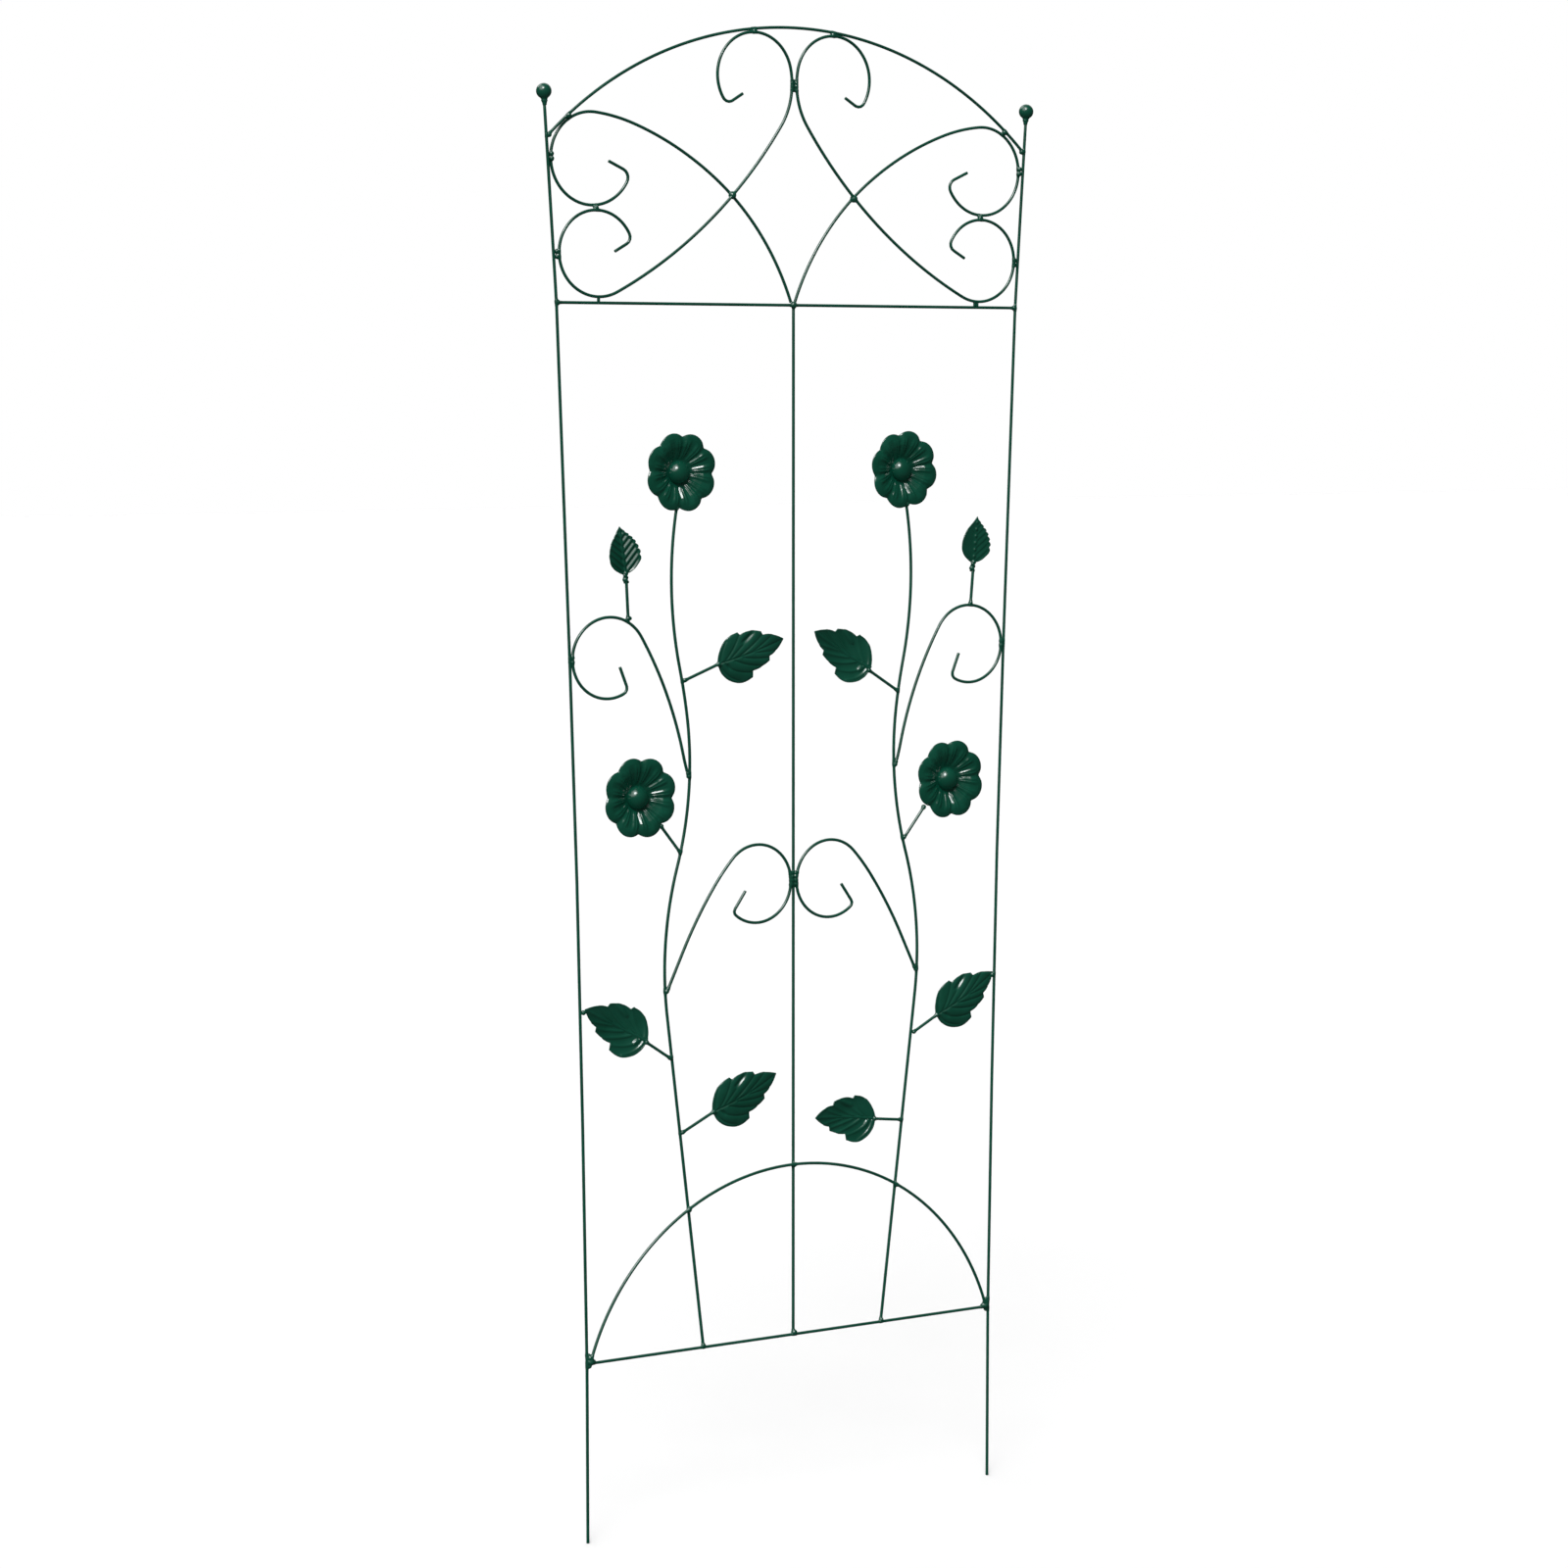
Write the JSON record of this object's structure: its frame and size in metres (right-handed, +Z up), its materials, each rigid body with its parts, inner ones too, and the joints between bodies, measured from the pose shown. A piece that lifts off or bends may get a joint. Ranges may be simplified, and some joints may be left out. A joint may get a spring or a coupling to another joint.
{
  "type": "garden trellis",
  "caption": "Flat welded-wire garden trellis with an arched scroll top, climbing stems, pressed leaves and flowers, ball finials and ground prongs.",
  "frame": {"origin": "midway between the tips of the two ground prongs, in the plane of the posts", "axes": "+Z up, +X across the panel to the viewer's right when seen from the front, the front faces -Y"},
  "size_m": [0.576, 0.0152, 1.5005],
  "materials": {
    "wire_coat": "glossy powder coat",
    "leaf_coat": "glossy powder coat",
    "flower_coat": "glossy powder coat",
    "finial_coat": "glossy powder coat",
    "weld_coat": "glossy powder coat"
  },
  "bodies": {
    "root": {"post_left": "wire_coat", "post_right": "wire_coat", "top_crossbar": "wire_coat", "bottom_crossbar": "wire_coat", "centre_rod": "wire_coat", "top_arch": "wire_coat", "low_arch": "wire_coat", "heart_scroll_left": "wire_coat", "heart_scroll_right": "wire_coat", "side_scroll_left": "wire_coat", "side_scroll_right": "wire_coat", "scroll_foot_left": "wire_coat", "scroll_foot_right": "wire_coat", "stem_left": "wire_coat", "stem_right": "wire_coat", "upper_branch_left": "wire_coat", "upper_branch_right": "wire_coat", "lower_branch_left": "wire_coat", "lower_branch_right": "wire_coat", "upper_leaf_stalk_left": "wire_coat", "upper_leaf_stalk_right": "wire_coat", "outer_leaf_stalk_left": "wire_coat", "outer_leaf_stalk_right": "wire_coat", "lower_leaf_stalk_left": "wire_coat", "lower_leaf_stalk_right": "wire_coat", "bud_leaf_stalk_left": "wire_coat", "bud_leaf_stalk_right": "wire_coat", "flower_stalk_left": "wire_coat", "flower_stalk_right": "wire_coat", "upper_leaf_left": "leaf_coat", "upper_leaf_right": "leaf_coat", "outer_leaf_left": "leaf_coat", "outer_leaf_right": "leaf_coat", "lower_leaf_left": "leaf_coat", "lower_leaf_right": "leaf_coat", "bud_leaf_left": "leaf_coat", "bud_leaf_right": "leaf_coat", "upper_flower_left": "flower_coat", "upper_flower_right": "flower_coat", "lower_flower_left": "flower_coat", "lower_flower_right": "flower_coat", "upper_button_left": "flower_coat", "upper_button_right": "flower_coat", "lower_button_left": "flower_coat", "lower_button_right": "flower_coat", "finial_left": "finial_coat", "finial_right": "finial_coat", "frame_welds": "weld_coat", "scroll_welds": "weld_coat", "branch_welds": "weld_coat", "leaf_welds": "weld_coat", "flower_welds": "weld_coat"}
  },
  "joints": []
}
